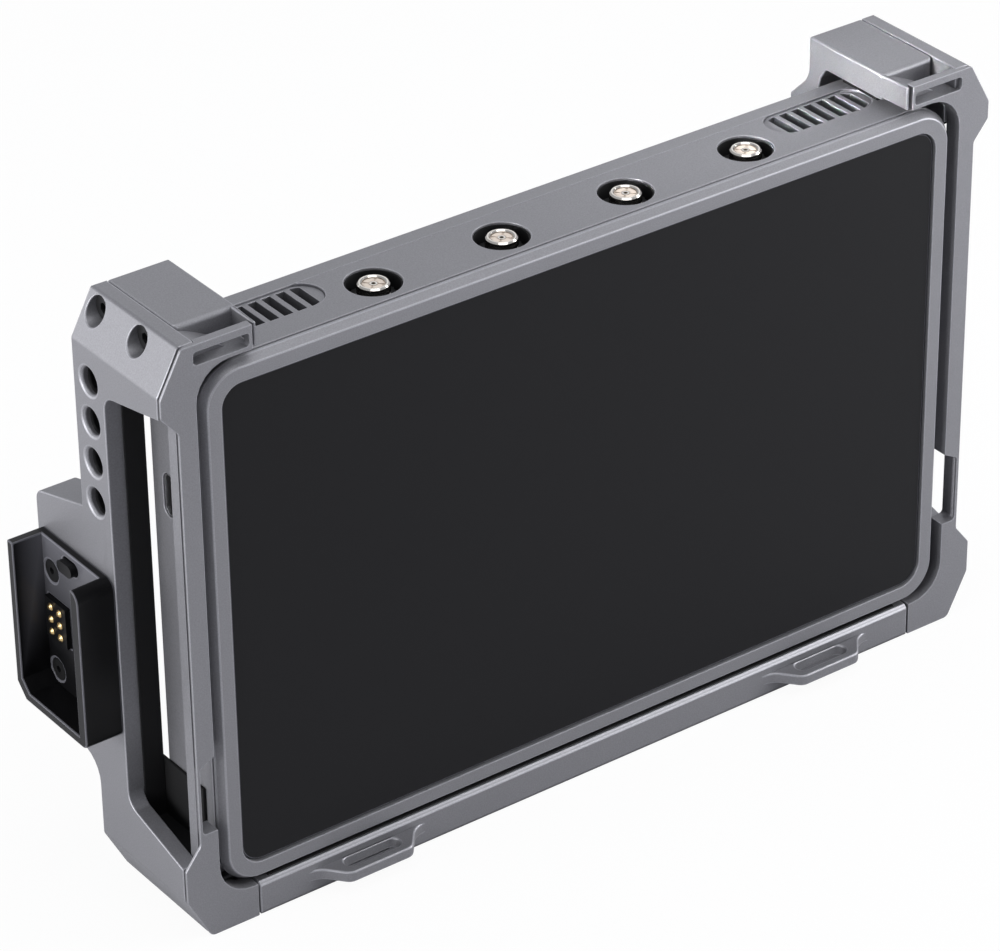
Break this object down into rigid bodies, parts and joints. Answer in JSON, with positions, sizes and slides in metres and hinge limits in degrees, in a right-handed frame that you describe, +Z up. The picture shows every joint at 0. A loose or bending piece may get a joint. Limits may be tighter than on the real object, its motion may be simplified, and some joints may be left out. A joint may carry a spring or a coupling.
{
  "type": "camera field monitor",
  "caption": "Seven inch field monitor with antenna jacks in a grey metal cage with threaded side posts, strap eyelets and a slide-in side dock.",
  "frame": {"origin": "mouth of the tripod thread, in the middle of the underside of the bottom bar", "axes": "+X to the right of someone in front of the screen, along the cage's longest extent; +Y from the screen to the back, along its shortest extent; +Z up"},
  "size_m": [0.207, 0.053, 0.1309],
  "materials": {
    "anodised": "bead-blasted and anodised mid grey",
    "glass": "polished cover glass, black behind",
    "panel_black": "dark polariser film",
    "white_plastic": "white backlight frame",
    "bare_metal": "plain mill finish",
    "nickel": "nickel plated brass",
    "cream_plastic": "white insulator",
    "gold": "gold plated",
    "board_green": "solder mask",
    "black_plastic": "fine texture",
    "copper": "varnished copper wire",
    "steel": "plain steel",
    "black_steel": "black oxide",
    "brass": "plain brass",
    "black_rubber": "matt silicone",
    "flex_film": "amber film"
  },
  "bodies": {
    "root": {"front_bezel": "anodised", "cover_glass": "glass", "lcd_panel": "panel_black", "backlight_unit": "white_plastic", "display_chassis": "bare_metal", "body_shell": "anodised", "rear_shell": "anodised", "left_vent_grille": "anodised", "right_vent_grille": "anodised", "antenna_jack_1": "nickel", "antenna_jack_2": "nickel", "antenna_jack_3": "nickel", "antenna_jack_4": "nickel", "jack_insulators": "cream_plastic", "jack_contacts": "gold", "jack_nuts": "black_steel", "rf_module": "board_green", "main_board": "board_green", "heat_sink": "bare_metal", "fan_housing": "black_plastic", "fan_cover": "bare_metal", "fan_stator": "copper", "board_screws": "steel", "speaker": "black_plastic", "display_flex": "flex_film", "usb_c_port": "steel", "hdmi_ports": "steel", "headphone_jack": "black_plastic", "power_switch": "black_plastic", "shell_screws": "black_steel", "bottom_inserts": "brass", "battery_plate": "black_plastic", "battery_contacts": "gold", "plate_screws": "steel", "left_side_plate": "anodised", "right_side_plate": "anodised", "left_front_frame": "anodised", "right_front_frame": "anodised", "bottom_bar": "anodised", "left_top_clamp": "anodised", "right_top_clamp": "anodised", "left_window_liner": "black_rubber", "right_window_liner": "black_rubber", "clamp_pads": "black_rubber", "bar_pads": "black_rubber", "clamp_screws": "black_steel", "rear_screws": "black_steel", "frame_screws": "black_steel", "bar_screws": "black_steel", "monitor_screws": "steel", "dock_tray": "black_plastic", "dock_contact_block": "black_plastic", "dock_contacts": "gold", "dock_screws": "black_steel"},
    "fan_rotor": {"fan_rotor": "black_plastic"},
    "power_button": {"power_button": "black_plastic"},
    "battery_release": {"battery_release": "black_plastic"},
    "battery_latch": {"battery_latch": "black_plastic"},
    "dock_catch": {"dock_catch": "black_plastic"}
  },
  "joints": [
    {"name": "fan_spin", "type": "hinge", "parent": "root", "child": "fan_rotor", "pos_m": [-0.057, 0.00035, 0.091], "axis": [0, 1, 0], "continuous": true},
    {"name": "power_press", "type": "slide", "parent": "root", "child": "power_button", "axis": [-1, 0, 0], "range_m": [0, 0.0005], "stiffness_N_per_m": 600},
    {"name": "release_slide", "type": "slide", "parent": "root", "child": "battery_release", "axis": [0, 0, -1], "range_m": [0, 0.0022], "stiffness_N_per_m": 300},
    {"name": "latch_slide", "type": "slide", "parent": "root", "child": "battery_latch", "axis": [0, -1, 0], "range_m": [0, 0.0022], "stiffness_N_per_m": 100},
    {"name": "dock_catch_press", "type": "slide", "parent": "root", "child": "dock_catch", "axis": [1, 0, 0], "range_m": [0, 0.0016], "stiffness_N_per_m": 300}
  ],
  "couplings": [
    {"joint": "latch_slide", "follows": "release_slide", "ratio": 1}
  ]
}
